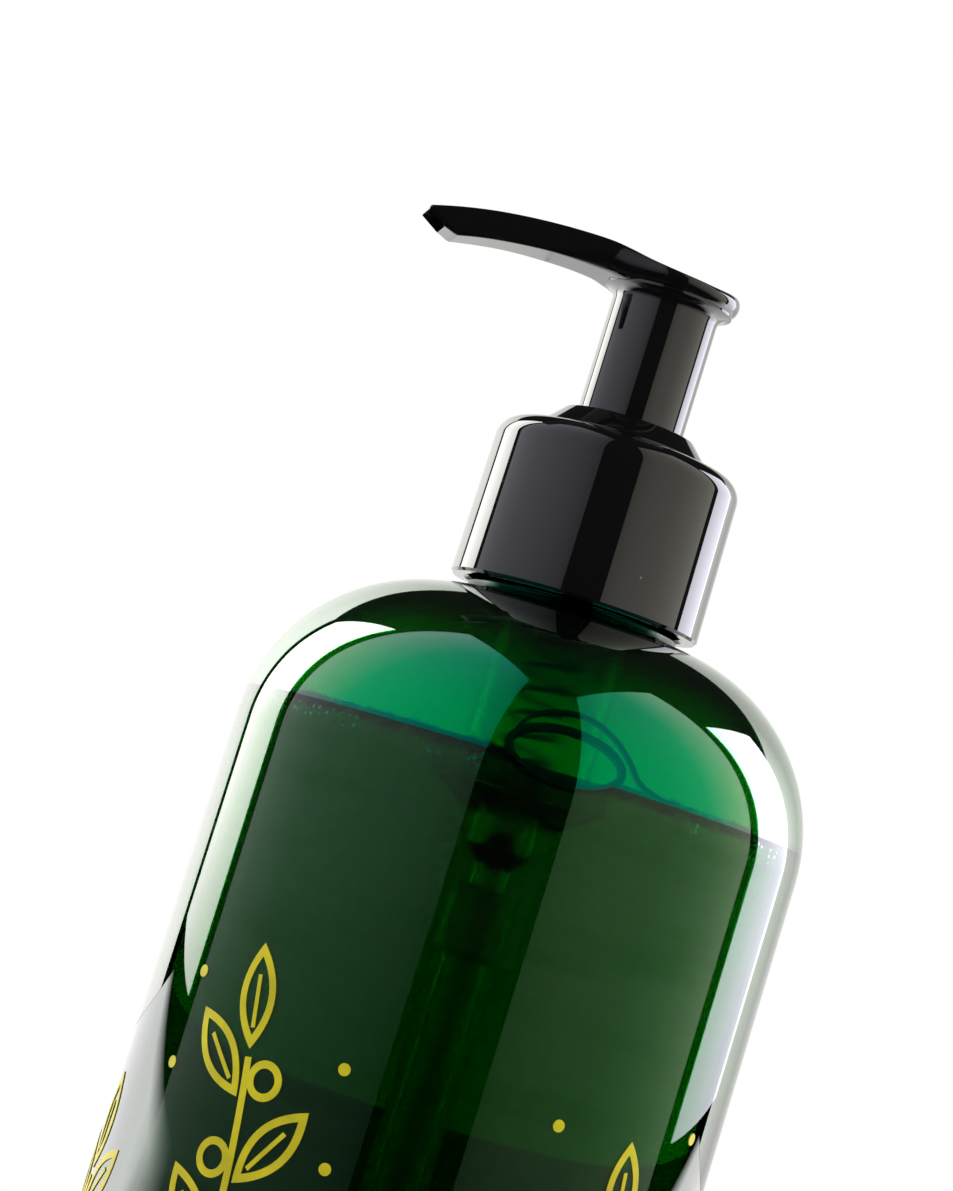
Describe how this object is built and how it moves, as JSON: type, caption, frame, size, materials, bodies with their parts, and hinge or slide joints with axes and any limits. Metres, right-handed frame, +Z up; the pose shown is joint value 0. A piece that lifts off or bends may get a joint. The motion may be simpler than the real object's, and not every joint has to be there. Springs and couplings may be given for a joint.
{
  "type": "lotion pump bottle",
  "caption": "Clear green round-shouldered bottle of liquid soap with a black saddle-head lotion pump that presses, swivels and unscrews.",
  "frame": {"origin": "centre of the base, on the surface that the bottle stands on", "axes": "+Z up along the bottle's axis, -X along the spout, -Y out of the printed face"},
  "size_m": [0.0721, 0.0721, 0.1939],
  "materials": {
    "green_plastic": "clear green blown plastic, glossy",
    "soap": "dark liquid",
    "ink": "mustard yellow screen ink",
    "black_plastic": "polished black",
    "natural_plastic": "natural milky plastic",
    "seal_plastic": "white seal plastic",
    "foam": "foamed sheet",
    "steel": "stainless wire and ball"
  },
  "bodies": {
    "bottle": {"bottle": "green_plastic", "soap": "soap", "print": "ink"},
    "pump": {"housing": "natural_plastic", "retaining_ring": "black_plastic", "gasket": "foam", "dip_tube": "natural_plastic", "spring": "steel"},
    "collar": {"collar": "black_plastic"},
    "plunger": {"stem": "natural_plastic", "piston_seat": "seal_plastic"},
    "head": {"head": "black_plastic"},
    "piston": {"piston": "seal_plastic"},
    "ball": {"ball": "steel"}
  },
  "joints": [
    {"name": "pump_lift", "type": "slide", "parent": "bottle", "child": "pump", "axis": [0, 0, 1], "range_m": [0, 0.0064]},
    {"name": "collar_turn", "type": "hinge", "parent": "pump", "child": "collar", "pos_m": [0, 0, 0.1495], "axis": [0, 0, 1], "range_deg": [0, 540]},
    {"name": "head_press", "type": "slide", "parent": "pump", "child": "plunger", "axis": [0, 0, -1], "range_m": [0, 0.014], "stiffness_N_per_m": 600, "springref_m": -0.008, "deforming": ["spring"]},
    {"name": "head_swivel", "type": "hinge", "parent": "plunger", "child": "head", "pos_m": [0, 0, 0.188], "axis": [0, 0, 1], "continuous": true},
    {"name": "piston_slip", "type": "slide", "parent": "plunger", "child": "piston", "axis": [0, 0, 1], "range_m": [0, 0.001]},
    {"name": "ball_lift", "type": "slide", "parent": "pump", "child": "ball", "axis": [0, 0, 1], "range_m": [0, 0.0015]}
  ],
  "couplings": [
    {"joint": "pump_lift", "follows": "collar_turn", "m_per_rad": 0.00067322}
  ]
}
